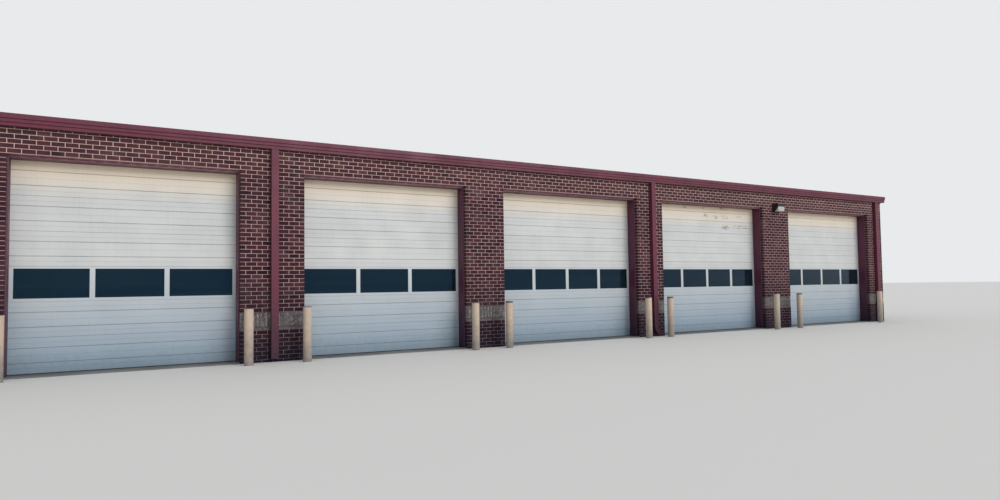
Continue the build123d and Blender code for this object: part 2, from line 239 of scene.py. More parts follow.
class Brickwork:
    """Bricks gathered for one mesh, with a tone for each brick."""

    def __init__(self, seed):
        self.points = []
        self.faces = []
        self.tones = []
        self.draw = random.Random(seed)

    def lay(self, wall, start, end, bottom, top):
        """One brick of a wall from start to end along it."""
        wander = self.draw.uniform
        proud = wander(-brick_set_back, 0.0)
        drop = wander(-brick_drop, brick_drop)
        first = len(self.points)
        for inset, depth in ((brick_edge, 0.0), (0.0, brick_edge), (0.0, brick_depth)):
            ring = (
                (start + inset, bottom + inset),
                (end - inset, bottom + inset),
                (end - inset, top - inset),
                (start + inset, top - inset),
            )
            for run, height in ring:
                lean = wander(-edge_lean, edge_lean) if depth == 0.0 else 0.0
                level = max(0.0, height + drop)
                self.points.append(wall_point(wall, run + lean, depth - proud, level))
        sides = [(first, first + 1, first + 2, first + 3)]
        for ring_start in (first, first + 4):
            for n in range(4):
                near, far = ring_start + n, ring_start + (n + 1) % 4
                sides.append((near, near + 4, far + 4, far))
        sides.append((first + 11, first + 10, first + 9, first + 8))
        self.faces += sides
        self.tones += [self.draw.random()] * len(sides)

    def course(self, wall, start, end, shift, bottom, top, open_start=True, open_end=True):
        """A course from start to end, cut at joints that fall on bricks counted from shift."""
        first_joint = math.ceil((start - shift) / brick_length - bond_slack)
        last_joint = math.floor((end - shift) / brick_length + bond_slack)
        cuts = [shift + n * brick_length for n in range(first_joint, last_joint + 1)]
        cuts = [c for c in cuts if start + shortest_cut < c < end - shortest_cut]
        places = [start] + cuts + [end]
        low = bottom + bed_joint / 2
        high = top - bed_joint / 2
        for n, (near, far) in enumerate(zip(places, places[1:])):
            near_gap = 0.0 if n == 0 and open_start else head_joint / 2
            far_gap = 0.0 if n == len(places) - 2 and open_end else head_joint / 2
            self.lay(wall, near + near_gap, far - far_gap, low, high)

    def piece(self, name, material):
        """The gathered bricks as one object."""
        made = mesh_piece(name, self.points, self.faces, material)
        attribute = made.data.attributes.new("tone", "FLOAT", "FACE")
        attribute.data.foreach_set("value", self.tones)
        return made


def courses():
    """Every course as (number, bottom, top), counted down and up from the block band."""
    below = math.ceil(base_height / course_height)
    for n in range(-below, 0):
        yield n, max(0.0, base_height + n * course_height), base_height + (n + 1) * course_height
    above = math.ceil((wall_top - band_top) / course_height)
    for n in range(above):
        bottom = band_top + n * course_height
        yield n, bottom, min(bottom + course_height, wall_top)


front_wall = (Vector((left_face, front_face, 0)), Vector((1, 0, 0)), Vector((0, -1, 0)))
front_length = right_face - left_face
pier_bricks = Brickwork(seed=11)
header_bricks = Brickwork(seed=12)
for number, bottom, top in courses():
    odd = number % 2
    corner_start = half_brick if odd else 0.0
    over_doors = bottom > head_height - bed_joint
    spans = [(left_face, right_face)] if over_doors else piers
    brickwork = header_bricks if over_doors else pier_bricks
    for left, right in spans:
        start = max(left - left_face, corner_start)
        end = min(right - left_face, front_length - corner_start)
        open_left = not (odd and left == left_face)
        open_right = not (odd and right == right_face)
        brickwork.course(front_wall, start, end, corner_start, bottom, top, open_left, open_right)


def spread(tree, value, low, high, new_low=0.0, new_high=1.0):
    """Map a value from one range to another, held at the ends."""
    made = add_node(tree, "ShaderNodeMapRange")
    feed(made, dict(enumerate((value, low, high, new_low, new_high))))
    return made.outputs["Result"]


def product(tree, first, *others):
    """Masks and shares multiplied together."""
    for other in others:
        first = reckon(tree, "MULTIPLY", first, other)
    return first


def layer(tree, under, colour, mask, none_at, full_at, share=1.0):
    """A colour over the one under it: none where the mask is none_at, share of it at full_at."""
    return mix_colours(tree, spread(tree, mask, none_at, full_at, new_high=share), under, colour)


def stain(tree, under, colour, mask, share):
    """A colour over the one under it, as strong as a mask times a share."""
    return mix_colours(tree, product(tree, mask, share), under, colour)


def object_place(tree):
    """Where a point lies on the building, in metres from its origin."""
    return add_node(tree, "ShaderNodeTexCoord").outputs["Object"]


def axes_of(tree, vector):
    """The X, Y and Z outputs of a vector."""
    return add_node(tree, "ShaderNodeSeparateXYZ", Vector=vector).outputs


def facing(tree):
    """How far the surface looks along X, Y and Z."""
    return axes_of(tree, add_node(tree, "ShaderNodeNewGeometry").outputs["Normal"])


def ramp(tree, value, *stops):
    """Colour ramp over stops of (position, colour)."""
    made = add_node(tree, "ShaderNodeValToRGB", Fac=value)
    elements = made.color_ramp.elements
    while len(elements) < len(stops):
        elements.new(0.5)
    for element, (position, colour) in zip(elements, stops):
        element.position = position
        element.color = colour
    return made.outputs["Color"]


def bump(tree, shader, height, depth):
    """Raise the surface by a height from 0 to 1, depth metres in all."""
    made = add_node(tree, "ShaderNodeBump", Height=height, Distance=depth)
    feed(shader, {"Normal": made.outputs["Normal"]})


def new_group(name, inputs, outputs):
    """An empty group of number sockets, where inputs gives each label its start value."""
    group = bpy.data.node_groups.new(name, "ShaderNodeTree")
    for label, start in inputs.items():
        socket = group.interface.new_socket(label, in_out="INPUT", socket_type="NodeSocketFloat")
        socket.default_value = start
    for label in outputs:
        group.interface.new_socket(label, in_out="OUTPUT", socket_type="NodeSocketFloat")
    given = group.nodes.new("NodeGroupInput").outputs
    result = group.nodes.new("NodeGroupOutput")
    return group, given, result


def use_group(tree, group, **sockets):
    """Place a node group in a material with its own values; gives its outputs."""
    return add_node(tree, "ShaderNodeGroup", {"node_tree": group}, **sockets).outputs


def fine_grain():
    """Group: speckle and slow colour drift for burnt clay, block, mortar and concrete."""
    group, given, result = new_group(
        "fine_grain", {"Speckle size": 0.004, "Drift size": 0.6}, ("Speckle", "Drift")
    )
    place = object_place(group)
    speckle_scale = reckon(group, "DIVIDE", 1.0, given["Speckle size"])
    drift_scale = reckon(group, "DIVIDE", 1.0, given["Drift size"])
    speckle = mottle(group, speckle_scale, detail=3.0, Vector=place, Roughness=0.6)
    drift = mottle(group, drift_scale, detail=5.0, Vector=place)
    feed(result, {"Speckle": speckle, "Drift": drift})
    return group


grain_group = fine_grain()
streak_width_to_length = 0.03
splash_raggedness = 0.8


def outdoor_wear():
    """Group: rain streaks, dust on upward faces, a mask fading up from the ground for dirt there
    and for painted shade, and slow patches.
    """
    group, given, result = new_group(
        "outdoor_wear",
        {"Streak width": 0.04, "Splash height": 0.4},
        ("Streaks", "Dust", "Splash", "Patches"),
    )
    place = object_place(group)
    across = reckon(group, "DIVIDE", 1.0, given["Streak width"])
    down = product(group, across, streak_width_to_length)
    scale = add_node(group, "ShaderNodeCombineXYZ", X=across, Y=across, Z=down)
    stretched = add_node(group, "ShaderNodeVectorMath", {"operation": "MULTIPLY"})
    feed(stretched, {0: place, 1: scale.outputs[0]})
    streak_noise = mottle(group, scale=1.0, detail=4.0, Vector=stretched.outputs[0])
    streaks = spread(group, streak_noise, 0.48, 0.72)
    looks_up = spread(group, facing(group)["Z"], 0.3, 0.9)
    dust = product(group, looks_up, mottle(group, scale=7.0, detail=5.0, Vector=place))
    rise = reckon(group, "DIVIDE", axes_of(group, place)["Z"], given["Splash height"])
    ragged = product(group, mottle(group, scale=11.0, detail=5.0, Vector=place), splash_raggedness)
    # This mask serves both dirt near the ground and painted shade.
    splash_and_shade = spread(group, reckon(group, "ADD", rise, ragged), 0.4, 1.3, new_low=1.0, new_high=0.0)
    patches = mottle(group, scale=1.7, detail=5.0, Vector=place)
    feed(result, {"Streaks": streaks, "Dust": dust, "Splash": splash_and_shade, "Patches": patches})
    return group


wear_group = outdoor_wear()

black_brick = srgb(38, 29, 40)
brown_brick = srgb(60, 35, 45)
red_brick = srgb(75, 41, 49)
mauve_brick = srgb(88, 56, 63)
brick_speck = srgb(44, 32, 38)
brick_bloom = srgb(140, 118, 114)
# Painted light lightens the upper courses; damp with painted shade darkens the foot.
brick_painted_light = srgb(136, 100, 98)
brick_wet_and_shade = srgb(18, 18, 34)
brick_speck_share = 0.5
brick_bloom_share = 0.22
brick_painted_light_share = 0.13
brick_wet_and_shade_share = 0.88
wet_and_shade_height = 2.1
painted_light_from = 3.4
painted_light_to = 4.2


def lit_and_shaded_wall_colour(tree, colour, painted_light_colour, painted_light_share, wet_and_shade_colour, wet_and_shade_share):
    """A wall colour with painted light on the upper courses, and damp with painted shade near the
    ground.
    """
    rise = axes_of(tree, object_place(tree))["Z"]
    wear = use_group(tree, wear_group, Splash_height=wet_and_shade_height)
    # Painted light: the upper courses are made lighter.
    lit_upper_courses = layer(tree, colour, painted_light_colour, rise, painted_light_from, painted_light_to, painted_light_share)
    # Damp and painted shade: darker and bluer towards the ground.
    return stain(tree, lit_upper_courses, wet_and_shade_colour, wear["Splash"], wet_and_shade_share)


face_brick, brick_tree, brick_shader = new_material("face_brick")
brick_tone = add_node(brick_tree, "ShaderNodeAttribute", {"attribute_name": "tone"})
brick_grain = use_group(brick_tree, grain_group, Speckle_size=0.006, Drift_size=0.25)
burnt = ramp(
    brick_tree,
    brick_tone.outputs["Fac"],
    (0.0, black_brick),
    (0.05, black_brick),
    (0.09, brown_brick),
    (0.45, brown_brick),
    (0.70, red_brick),
    (0.92, red_brick),
    (1.0, mauve_brick),
)
speckled = layer(
    brick_tree, burnt, brick_speck, brick_grain["Speckle"], 0.35, 0.75, brick_speck_share
)
bloomed = layer(
    brick_tree, speckled, brick_bloom, brick_grain["Drift"], 0.48, 0.8, brick_bloom_share
)
brick_colour = lit_and_shaded_wall_colour(
    brick_tree, bloomed, brick_painted_light, brick_painted_light_share, brick_wet_and_shade, brick_wet_and_shade_share
)
feed(brick_shader, {"Base Color": brick_colour, "Roughness": 0.85, "Specular IOR Level": 0.15})
bump(brick_tree, brick_shader, brick_grain["Speckle"], depth=0.0015)


def put_in_place(node, slot, *pieces):
    """Let detailed pieces stand for a node of the frame."""
    for piece in pieces:
        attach(piece, "root")
        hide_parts(node)


put_in_place("front_piers", "brick", pier_bricks.piece("front_pier_bricks", face_brick))
put_in_place("front_header_wall", "brick", header_bricks.piece("front_header_bricks", face_brick))

# What the bricks are bedded in: mortar on the outer side, and behind it the block wythe that
# shows inside. Its outer face is the struck joint, so every brick stands a little proud of it.
joint_depth = 0.003
mortar_pale = srgb(220, 182, 178)
mortar_sand = srgb(194, 158, 156)
mortar_stain = srgb(142, 116, 118)
# Painted light on the upper courses, and damp with painted shade at the foot.
mortar_painted_light = srgb(246, 208, 196)
mortar_wet_and_shade = srgb(54, 50, 66)
mortar_stain_share = 0.35
mortar_painted_light_share = 0.7
mortar_wet_and_shade_share = 0.85
square_on = 0.5
back_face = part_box("back_wall")[1].y

mortar, mortar_tree, mortar_shader = new_material("mortar")
mortar_grain = use_group(mortar_tree, grain_group, Speckle_size=0.003, Drift_size=0.5)
sanded = layer(mortar_tree, mortar_pale, mortar_sand, mortar_grain["Speckle"], 0.3, 0.7)
stained = layer(
    mortar_tree, sanded, mortar_stain, mortar_grain["Drift"], 0.4, 0.7, mortar_stain_share
)
mortar_colour = lit_and_shaded_wall_colour(
    mortar_tree, stained, mortar_painted_light, mortar_painted_light_share, mortar_wet_and_shade, mortar_wet_and_shade_share
)
feed(mortar_shader, {"Base Color": mortar_colour, "Roughness": 0.95, "Specular IOR Level": 0.2})
bump(mortar_tree, mortar_shader, mortar_grain["Speckle"], depth=0.001)

inner_block, inner_tree, inner_shader = new_material("inner_block")
inner_axes = axes_of(inner_tree, object_place(inner_tree))
inner_run = reckon(inner_tree, "ADD", inner_axes["X"], inner_axes["Y"])
inner_flat = add_node(inner_tree, "ShaderNodeCombineXYZ", X=inner_run, Y=inner_axes["Z"])
inner_joints = add_node(
    inner_tree,
    "ShaderNodeTexBrick",
    {"offset": 0.5},
    Vector=inner_flat.outputs[0],
    Scale=1.0,
    Mortar_Size=0.005,
    Brick_Width=2 * brick_length,
    Row_Height=brick_length,
    Color1=srgb(176, 174, 168),
    Color2=srgb(164, 162, 157),
    Mortar=srgb(140, 138, 133),
)
feed(inner_shader, {"Base Color": inner_joints.outputs["Color"], "Roughness": 0.9})
inner_grain = use_group(inner_tree, grain_group, Speckle_size=0.008, Drift_size=0.5)
bump(inner_tree, inner_shader, inner_grain["Speckle"], depth=0.002)


def masonry_core(name, outlines, bottom_at, top_at, faces_inside):
    """Mortar and block behind the bricks, upright on outlines in plan.

    bottom_at and top_at give a corner's heights; faces_inside tells which sides are plain block.
    """
    points = []
    faces = []
    for outline in outlines:
        first = len(points)
        count = len(outline)
        points += [(x, y, bottom_at(x, y)) for x, y in outline]
        points += [(x, y, top_at(x, y)) for x, y in outline]
        faces.append([first + n for n in reversed(range(count))])
        faces.append([first + count + n for n in range(count)])
        for n in range(count):
            near, far = first + n, first + (n + 1) % count
            faces.append((near, far, far + count, near + count))
    core = mesh_piece(name, points, faces, mortar)
    core.data.materials.append(inner_block)
    for polygon in core.data.polygons:
        if faces_inside(polygon.center, polygon.normal):
            polygon.material_index = 1
    return core


def pier_outline(left, right, set_back):
    """Plan of one pier's core, set back from the face where brick or block stands before it."""
    left_set = left + set_back
    right_set = right - set_back
    brick_back = front_face + half_brick
    outer = [(left_set, front_face + set_back), (right_set, front_face + set_back)]
    right_side = [(right_set, brick_back), (right, brick_back), (right, inner_front)]
    left_side = [(left, inner_front), (left, brick_back), (left_set, brick_back)]
    if right == right_face:
        right_side = [(right_set, inner_front)]
    if left == left_face:
        left_side = [(left_set, inner_front)]
    return outer + right_side + left_side


def at_height(height):
    """A level bottom or top for a core."""
    return lambda x, y: height


def roof_underside(x, y):
    """Where a core meets the sloping roof."""
    return wall_top + (back_face - abs(y)) * roof_pitch


def front_inside(centre, normal):
    """Sides of the front's cores that show plain block: inner faces and backs of reveals."""
    in_reveal = abs(normal.x) > square_on and centre.y > front_face + half_brick
    return normal.y > square_on or in_reveal


pier_outlines = [pier_outline(left, right, joint_depth) for left, right in piers]
lower_core = masonry_core(
    "front_pier_core_low", pier_outlines, at_height(0.0), at_height(base_height), front_inside
)
upper_core = masonry_core(
    "front_pier_core_high", pier_outlines, at_height(band_top), at_height(head_height), front_inside
)
header_outline = rectangle(
    left_face + joint_depth, right_face - joint_depth, front_face + joint_depth, inner_front
)
header_core = masonry_core(
    "front_header_core", [header_outline], at_height(head_height), roof_underside, front_inside
)
put_in_place("front_piers", "brick", lower_core, upper_core)
put_in_place("front_header_wall", "brick", header_core)

# Side and back walls, the same brick in the same bond. At each corner the courses take turns:
# the front and back own the even ones, the sides the odd ones, and an end shows as a header.
side_length = back_face - front_face
inner_back = back_face - wall_depth
inner_face_slack = 0.01
left_wall = (Vector((left_face, back_face, 0)), Vector((0, -1, 0)), Vector((-1, 0, 0)))
right_wall = (Vector((right_face, front_face, 0)), Vector((0, 1, 0)), Vector((1, 0, 0)))
back_wall = (Vector((right_face, back_face, 0)), Vector((-1, 0, 0)), Vector((0, 1, 0)))

back_bricks = Brickwork(seed=21)
for number, bottom, top in courses():
    odd = number % 2
    inset = half_brick if odd else 0.0
    end = front_length - inset
    back_bricks.course(
        back_wall, inset, end, inset, bottom, top, open_start=not odd, open_end=not odd
    )


def lay_side(brickwork, wall):
    """A side wall to the eaves, then its gable in courses that shorten under the rake trim."""
    for number, bottom, top in courses():
        odd = number % 2
        inset = 0.0 if odd else half_brick
        brickwork.course(
            wall, inset, side_length - inset, inset, bottom, top, open_start=odd, open_end=odd
        )
    above = math.ceil((wall_top - band_top) / course_height)
    while True:
        bottom = band_top + above * course_height
        top = bottom + course_height
        trimmed = (top - wall_top) / roof_pitch
        if trimmed > side_length / 2 - brick_length:
            break
        inset = 0.0 if above % 2 else half_brick
        start = math.ceil((trimmed - inset) / brick_length) * brick_length + inset
        brickwork.course(wall, start, side_length - start, inset, bottom, top)
        above += 1


left_bricks = Brickwork(seed=31)
right_bricks = Brickwork(seed=32)
lay_side(left_bricks, left_wall)
lay_side(right_bricks, right_wall)


def side_inside(centre, normal):
    """Sides of the end walls' cores that show plain block."""
    inner_face = right_face - wall_depth + inner_face_slack
    return abs(centre.x) < inner_face and abs(normal.x) > square_on


def back_inside(centre, normal):
    """Sides of the back wall's cores that show plain block."""
    return normal.y < -square_on


def side_reach(sign, set_back):
    """Lowest and highest X of an end wall's core, set back from its outer face."""
    outer = sign * (right_face - set_back)
    inner = sign * (right_face - wall_depth)
    return sorted((outer, inner))


for side, sign, laid in (("left", -1, left_bricks), ("right", 1, right_bricks)):
    low_x, high_x = side_reach(sign, joint_depth)
    outline = [
        (low_x, inner_front),
        (high_x, inner_front),
        (high_x, 0.0),
        (high_x, inner_back),
        (low_x, inner_back),
        (low_x, 0.0),
    ]
    low = masonry_core(
        f"{side}_wall_core_low", [outline], at_height(0.0), at_height(base_height), side_inside
    )
    high = masonry_core(
        f"{side}_wall_core_high", [outline], at_height(band_top), roof_underside, side_inside
    )
    shown = laid.piece(f"{side}_wall_bricks", face_brick)
    put_in_place(f"{side}_wall", "brick", shown, low, high)


def back_outline(set_back):
    """Plan of the back wall's core, set back from its outer faces."""
    return rectangle(left_face + set_back, right_face - set_back, inner_back, back_face - set_back)


back_plan = [back_outline(joint_depth)]
back_low = masonry_core(
    "back_wall_core_low", back_plan, at_height(0.0), at_height(base_height), back_inside
)
back_high = masonry_core(
    "back_wall_core_high", back_plan, at_height(band_top), roof_underside, back_inside
)
shown = back_bricks.piece("back_wall_bricks", face_brick)
put_in_place("back_wall", "brick", shown, back_low, back_high)

# Band of rough concrete block round the building at hand height. The blocks are 16 in long and
# split on five upright ribs, which broke off clean on some; a low smoother course is under them.
block_length = 2 * brick_length
ribs_in_block = 5
strip_height = 0.058
strip_set_back = 0.004
strip_hollow = 0.55
split_depth = 0.020
split_cell = 0.013
least_rib_share = 0.08
most_rib_share = 0.42
mean_break = 0.46
chip_share = 0.50
lump_share = 0.24
rim_share = 0.3
rim_width = 0.02
sway_share = 0.2
sway_scales = (3, 6)
chip_scales = (54, 42)
lump_scales = (11, 13)
sheet_stride = 3.7
block_joint = 0.010
block_body = half_brick - block_joint / 2
band_set_back = split_depth + strip_set_back


def broken_noise(run, height, scales, sheet):
    """Noise from -1 to 1 at a point of a wall, with one scale along it and one upwards."""
    return noise.noise(Vector((run * scales[0], height * scales[1], sheet)))


class SplitBlocks:
    """Split-face blocks gathered for one mesh: a broken, ribbed face on a plain body."""

    def __init__(self, seed):
        self.points = []
        self.faces = []
        self.hollows = []
        self.draw = random.Random(seed)

    def depth_at(self, wall, run, height, bottom, top, rib_share):
        """How far the broken face lies behind the wall's face at one point."""
        corner = wall[0]
        sway_sheet = corner.x + sheet_stride * corner.y
        chip_sheet = sway_sheet + 5
        lump_sheet = sway_sheet + 9
        sway = sway_share * broken_noise(run, height, sway_scales, sway_sheet)
        rib = 0.5 - 0.5 * math.cos(2 * math.pi * (run * ribs_in_block / block_length + sway))
        chips = broken_noise(run, height, chip_scales, chip_sheet)
        lumps = broken_noise(run, height, lump_scales, lump_sheet)
        broken = mean_break + rib_share * (rib - 0.5) + chip_share * chips + lump_share * lumps
        rim = min(height - bottom, top - height)
        rounded = rim_share * max(0.0, 1 - rim / rim_width)
        return split_depth * min(max(broken + rounded, 0.0), 1.0)

    def block(self, wall, start, end, bottom, top, rough):
        """One block with a grid of points for its face, if it is rough, and a plain body."""
        rib_share = self.draw.uniform(least_rib_share, most_rib_share)
        columns = max(2, round((end - start) / split_cell)) if rough else 1
        rows = max(2, round((top - bottom) / split_cell)) if rough else 1
        first = len(self.points)
        for row in range(rows + 1):
            height = bottom + (top - bottom) * row / rows
            for column in range(columns + 1):
                run = start + (end - start) * column / columns
                depth = strip_set_back
                if rough:
                    depth = self.depth_at(wall, run, height, bottom, top, rib_share)
                self.points.append(wall_point(wall, run, depth, height))
                self.hollows.append(depth / split_depth if rough else strip_hollow)
        back = len(self.points)
        for run, height in ((start, bottom), (end, bottom), (end, top), (start, top)):
            self.points.append(wall_point(wall, run, block_body, height))
            self.hollows.append(1.0)
        wide = columns + 1
        for row in range(rows):
            for column in range(columns):
                near = first + row * wide + column
                self.faces.append((near, near + 1, near + 1 + wide, near + wide))
        last_row = first + rows * wide
        bottom_rim = [first + n for n in range(wide)]
        top_rim = [last_row + n for n in range(wide)]
        start_rim = [first + n * wide for n in range(rows + 1)]
        end_rim = [first + n * wide + columns for n in range(rows + 1)]
        self.faces.append(bottom_rim[::-1] + [back, back + 1])
        self.faces.append(top_rim + [back + 2, back + 3])
        self.faces.append(start_rim + [back + 3, back])
        self.faces.append(end_rim[::-1] + [back + 1, back + 2])
        self.faces.append((back + 3, back + 2, back + 1, back))

    def run(self, wall, start, end, open_ends):
        """Blocks from start to end along a wall over a smooth strip."""
        count = max(1, round((end - start) / block_length))
        size = (end - start) / count
        middle = base_height + strip_height
        for n in range(count):
            near_gap = 0.0 if n == 0 and open_ends else block_joint / 2
            far_gap = 0.0 if n == count - 1 and open_ends else block_joint / 2
            near = start + n * size + near_gap
            far = start + (n + 1) * size - far_gap
            self.block(wall, near, far, middle, band_top - block_joint / 2, rough=True)
            self.block(wall, near, far, base_height, middle - block_joint / 2, rough=False)

    def piece(self, name, material):
        """The gathered blocks as one object."""
        made = mesh_piece(name, self.points, self.faces, material)
        attribute = made.data.attributes.new("hollow", "FLOAT", "POINT")
        attribute.data.foreach_set("value", self.hollows)
        return made


front_blocks = SplitBlocks(seed=41)
for left, right in piers:
    front_blocks.run(front_wall, left - left_face, right - left_face, open_ends=True)
back_blocks = SplitBlocks(seed=42)
back_blocks.run(back_wall, 0.0, front_length, open_ends=True)
left_blocks = SplitBlocks(seed=43)
left_blocks.run(left_wall, half_brick, side_length - half_brick, open_ends=False)
right_blocks = SplitBlocks(seed=44)
right_blocks.run(right_wall, half_brick, side_length - half_brick, open_ends=False)


def stretch(tree, place, scale):
    """A place scaled along each axis, for noise that is longer one way than another."""
    return add_node(tree, "ShaderNodeMapping", Vector=place, Scale=scale).outputs[0]


block_grime = srgb(58, 52, 58)
block_grit = srgb(150, 140, 138)
block_scrape = srgb(160, 157, 156)
grime_share = 0.4
grit_share = 0.6
scrape_share = 0.7
scrape_stretch = (9.0, 9.0, 22.0)

split_block, block_tree, block_shader = new_material("split_block")
block_hollow = add_node(block_tree, "ShaderNodeAttribute", {"attribute_name": "hollow"})
block_grain = use_group(block_tree, grain_group, Speckle_size=0.012, Drift_size=0.22)
# Painted shade: the deeper a point of the broken face lies, the darker its colour, from pale ridges
# to near black on the sides in the joints.
block_shade_by_depth = ramp(
    block_tree,
    block_hollow.outputs["Fac"],
    (0.0, srgb(186, 178, 166)),
    (0.34, srgb(110, 103, 104)),
    (0.60, srgb(76, 73, 77)),
    (1.0, srgb(26, 24, 30)),
)
grimy = layer(block_tree, block_shade_by_depth, block_grime, block_grain["Drift"], 0.48, 0.72, grime_share)
gritty = layer(block_tree, grimy, block_grit, block_grain["Speckle"], 0.46, 0.70, grit_share)
scrape_place = stretch(block_tree, object_place(block_tree), scrape_stretch)
scrapes = mottle(block_tree, scale=1.0, detail=3.0, Vector=scrape_place)
scraped = layer(block_tree, gritty, block_scrape, scrapes, 0.66, 0.72, scrape_share)
feed(block_shader, {"Base Color": scraped, "Roughness": 0.92})
bump(block_tree, block_shader, block_grain["Speckle"], depth=0.004)


def side_band_outline(sign):
    """Plan of the core behind an end wall's blocks."""
    low_x, high_x = side_reach(sign, band_set_back)
    return rectangle(low_x, high_x, inner_front, inner_back)


band_outlines = [pier_outline(left, right, band_set_back) for left, right in piers]
for side, blocks, outlines, inside in (
    ("front", front_blocks, band_outlines, front_inside),
    ("back", back_blocks, [back_outline(band_set_back)], back_inside),
    ("left", left_blocks, [side_band_outline(-1)], side_inside),
    ("right", right_blocks, [side_band_outline(1)], side_inside),
):
    shown = blocks.piece(f"{side}_split_blocks", split_block)
    core = masonry_core(
        f"{side}_band_core", outlines, at_height(base_height), at_height(band_top), inside
    )
    put_in_place(f"{side}_block_band", "block", shown, core)


def dress(names, material):
    """Give finished pieces of the frame their material."""
    for name in names:
        piece = nodes[name]
        if not piece.material_slots:
            piece.data.materials.append(material)
        for slot in piece.material_slots:
            slot.material = material


slab_pale = srgb(128, 128, 126)
slab_worn = srgb(102, 102, 101)
slab_speck = srgb(80, 80, 79)

floor_concrete, slab_tree, slab_shader = new_material("floor_concrete")
slab_grain = use_group(slab_tree, grain_group, Speckle_size=0.006, Drift_size=0.9)
slab_patchy = layer(slab_tree, slab_pale, slab_worn, slab_grain["Drift"], 0.35, 0.7)
slab_specked = layer(slab_tree, slab_patchy, slab_speck, slab_grain["Speckle"], 0.3, 0.8, share=0.4)
feed(slab_shader, {"Base Color": slab_specked, "Roughness": 0.75})
bump(slab_tree, slab_shader, slab_grain["Speckle"], depth=0.001)
dress(["floor_slab"], floor_concrete)

# Steel channels round each doorway, in dark red gloss paint that has dulled. Faces that look out
# are lighter, partly chalky bloom and partly painted light, and the paint darkens towards the foot,
# partly splash dirt and partly painted shade. Mortar has run on to the heads.
streak_share = 0.22
dust_share = 0.5
paint_dust = srgb(150, 138, 130)
orange_peel_scale = 160.0
orange_peel_depth = 0.0004
bloom_and_light_share = 0.35
paint_bloom_and_light = srgb(134, 98, 112)
smear_share = 0.7
smear_colour = srgb(158, 122, 122)
smear_bottom = 0.062
smear_full = 0.050
amount_stretch = (0.16, 0.0, 0.0)
edge_stretch = (11.0, 1.0, 30.0)
wiped_middle = 0.026
wiped_reach = 0.020


def painted_metal(name, colours, roughness, splash_and_shade_share, splash_and_shade_height=0.45):
    """Painted steel or sheet in its fresh, faded and soiled colours, with streaks, dust, and
    darkening near the ground that is partly dirt and partly painted shade.
    """
    material, tree, shader = new_material(name)
    fresh_colour, faded_colour, dirt_and_shade_colour = [srgb(*colour) for colour in colours]
    wear = use_group(tree, wear_group, Streak_width=0.05, Splash_height=splash_and_shade_height)
    faded = layer(tree, fresh_colour, faded_colour, wear["Patches"], 0.35, 0.7)
    streaked = stain(tree, faded, dirt_and_shade_colour, wear["Streaks"], streak_share)
    # Splash dirt and painted shade: darker towards the ground.
    splashed_and_shaded = stain(tree, streaked, dirt_and_shade_colour, wear["Splash"], splash_and_shade_share)
    dusty = stain(tree, splashed_and_shaded, paint_dust, wear["Dust"], dust_share)
    dulled = spread(tree, wear["Patches"], 0.3, 0.7, roughness - 0.08, roughness + 0.12)
    feed(shader, {"Base Color": dusty, "Roughness": dulled, "Specular IOR Level": 0.3})
    bump(tree, shader, mottle(tree, orange_peel_scale, detail=2.0), orange_peel_depth)
    return material


def line_mask(tree, value, centre, half_width):
    """1 about centre, fading to 0 at half_width from it."""
    away = reckon(tree, "ABSOLUTE", reckon(tree, "SUBTRACT", value, centre))
    core = half_width * 0.35
    return spread(tree, away, core, half_width, new_low=1.0, new_high=0.0)


def weather_and_light_heads(material):
    """Chalky bloom with painted light on faces that look outward, and mortar smears under the
    lowest course.
    """
    tree = material.node_tree
    shader = tree.nodes["Principled BSDF"]
    painted = shader.inputs["Base Color"].links[0].from_socket
    place = object_place(tree)
    axes = axes_of(tree, place)
    outward = spread(tree, facing(tree)["Y"], -0.9, -0.6, new_low=1.0, new_high=0.0)
    # Chalky bloom and painted light: outward faces are made lighter.
    chalked_and_lit = stain(tree, painted, paint_bloom_and_light, outward, bloom_and_light_share)
    amount = mottle(tree, scale=1.0, detail=1.0, Vector=stretch(tree, place, amount_stretch))
    edge_wave = mottle(tree, scale=1.0, detail=4.0, Vector=stretch(tree, place, edge_stretch))
    from_corner = reckon(tree, "SUBTRACT", axes["X"], left_face)
    bricks_along = reckon(tree, "DIVIDE", from_corner, brick_length)
    under_brick = reckon(tree, "PINGPONG", bricks_along, 0.5)
    drop = reckon(tree, "SUBTRACT", head_height, axes["Z"])
    wiped = product(
        tree,
        line_mask(tree, drop, wiped_middle, wiped_reach),
        spread(tree, reckon(tree, "ADD", under_brick, edge_wave), 0.66, 0.80),
    )
    smeared = product(
        tree,
        spread(tree, drop, smear_bottom, smear_full),
        spread(tree, reckon(tree, "ADD", amount, edge_wave), 0.82, 1.12),
        reckon(tree, "SUBTRACT", 1.0, wiped),
        outward,
        smear_share,
    )
    feed(shader, {"Base Color": mix_colours(tree, smeared, chalked_and_lit, smear_colour)})


# The last colour darkens streaks, and near the ground it also stands for painted shade.
frame_colours = ((92, 43, 66), (82, 42, 64), (34, 28, 46))
frame_paint = painted_metal(
    "frame_paint", frame_colours, roughness=0.42, splash_and_shade_share=0.8, splash_and_shade_height=1.6
)
weather_and_light_heads(frame_paint)
dress([f"door_frame_{n}" for n in bays], frame_paint)

